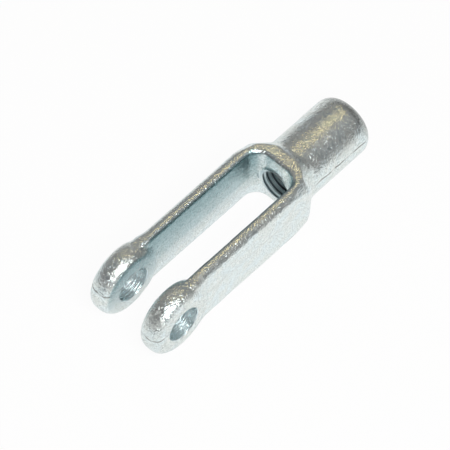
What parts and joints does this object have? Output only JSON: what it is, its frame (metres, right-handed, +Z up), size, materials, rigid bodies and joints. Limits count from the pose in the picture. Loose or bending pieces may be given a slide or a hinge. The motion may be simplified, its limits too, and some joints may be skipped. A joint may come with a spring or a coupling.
{
  "type": "clevis rod end",
  "caption": "One-piece forged steel clevis: two round pin-bored ears on parallel arms, a rounded crown and a round shank with a tapped hole along its axis.",
  "frame": {"origin": "middle of the pin axis, halfway between the two ears, on the forging's parting plane", "axes": "+X along the shank, away from the ears; Y along the pin axis; +Z up as the part lies, across the parting plane"},
  "size_m": [0.0854, 0.0242, 0.0208],
  "materials": {
    "zinc_plated_steel": "bright blue-white zinc plating over an as-forged skin"
  },
  "bodies": {
    "root": {"clevis_rod_end": "zinc_plated_steel"}
  },
  "joints": []
}
